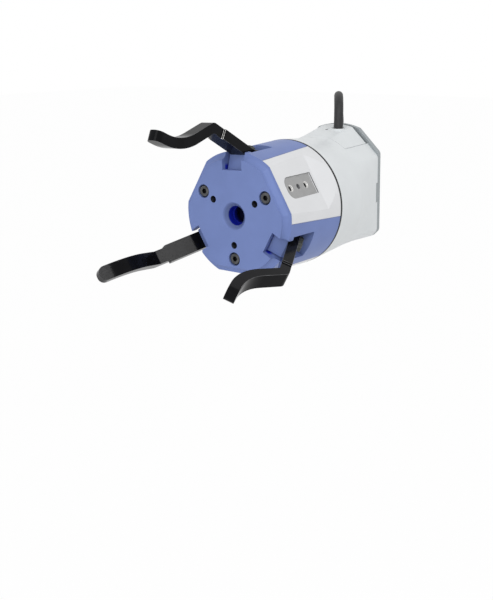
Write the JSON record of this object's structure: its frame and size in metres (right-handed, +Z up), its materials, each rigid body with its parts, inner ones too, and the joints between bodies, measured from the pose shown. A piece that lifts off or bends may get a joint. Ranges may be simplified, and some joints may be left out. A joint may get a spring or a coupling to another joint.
{
  "type": "electric three-finger gripper",
  "caption": "Round-bodied electric robot gripper: bent fingers swing on pins in slots of a blue nose and close together on the axis, driven by a screw and a round rack.",
  "frame": {"origin": "centre of the rear mounting face, on the gripper's axis", "axes": "+Y out of the rear mounting face towards the robot, the fingers reach towards -Y, +Z up through the cable side and the top finger, +X to the side with the mounting window"},
  "size_m": [0.1019, 0.2241, 0.1108],
  "materials": {
    "blue_anodised": "matt anodised",
    "white_panel": "satin",
    "white_housing": "satin",
    "bare_aluminium": "satin",
    "black_anodised": "satin anodised",
    "dark_screw": "blackened",
    "steel": "turned",
    "bronze": "turned",
    "dark_rubber": "matt",
    "cable_grey": "matt",
    "black_plastic": "satin",
    "core_iron": "laminated",
    "board_green": "lacquered"
  },
  "bodies": {
    "base": {"nose_housing": "blue_anodised", "side_panel_upper_left": "white_panel", "side_panel_bottom": "white_panel", "side_panel_upper_right": "white_panel", "mounting_pad": "bare_aluminium", "nose_screws": "dark_screw", "seam_gasket": "dark_rubber", "bulkhead": "bare_aluminium", "bulkhead_screws": "steel", "guide_bush": "bronze", "pivot_pin_top": "steel", "pivot_pin_left": "steel", "pivot_pin_right": "steel", "front_bearing_outer": "steel", "front_bearing_balls": "steel", "rear_bearing_outer": "steel", "rear_bearing_balls": "steel", "motor_can": "steel", "stator": "core_iron", "motor_end_cap": "bare_aluminium", "encoder_board": "board_green", "board_posts": "steel", "control_board": "board_green", "board_brackets": "bare_aluminium", "cable_header": "black_plastic", "rear_housing": "white_housing", "top_cover": "white_housing", "rear_plate": "bare_aluminium", "plate_screws": "steel", "cable_gland": "dark_rubber", "cable": "cable_grey", "cable_plug": "black_plastic"},
    "screw": {"drive_screw": "steel", "rotor": "core_iron", "encoder_magnet": "core_iron", "front_bearing_inner": "steel", "rear_bearing_inner": "steel"},
    "rack": {"rack_nut": "bronze", "guide_key": "steel"},
    "finger_top": {"finger_top": "black_anodised", "finger_lever_top": "blue_anodised", "finger_screws_top": "steel"},
    "finger_left": {"finger_left": "black_anodised", "finger_lever_left": "blue_anodised", "finger_screws_left": "steel"},
    "finger_right": {"finger_right": "black_anodised", "finger_lever_right": "blue_anodised", "finger_screws_right": "steel"}
  },
  "joints": [
    {"name": "screw_spin", "type": "hinge", "parent": "base", "child": "screw", "pos_m": [0, -0.05, 0], "axis": [0, -1, 0], "range_deg": [-36.65, 234.57]},
    {"name": "rack_slide", "type": "slide", "parent": "base", "child": "rack", "axis": [0, 1, 0], "range_m": [-0.00124, 0.00784]},
    {"name": "finger_top_swing", "type": "hinge", "parent": "base", "child": "finger_top", "pos_m": [-0.00088, -0.107, 0.02518], "axis": [0.9994, 0, 0.0349], "range_deg": [-5.05, 32.05]},
    {"name": "finger_left_swing", "type": "hinge", "parent": "base", "child": "finger_left", "pos_m": [-0.02137, -0.107, -0.01335], "axis": [-0.5299, 0, 0.848], "range_deg": [-5.05, 32.05]},
    {"name": "finger_right_swing", "type": "hinge", "parent": "base", "child": "finger_right", "pos_m": [0.02225, -0.107, -0.01183], "axis": [-0.4695, 0, -0.8829], "range_deg": [-5.05, 32.05]}
  ],
  "couplings": [
    {"joint": "rack_slide", "follows": "screw_spin", "m_per_rad": 0.0019099},
    {"joint": "finger_top_swing", "follows": "screw_spin", "ratio": 0.13642},
    {"joint": "finger_left_swing", "follows": "screw_spin", "ratio": 0.13642},
    {"joint": "finger_right_swing", "follows": "screw_spin", "ratio": 0.13642}
  ]
}
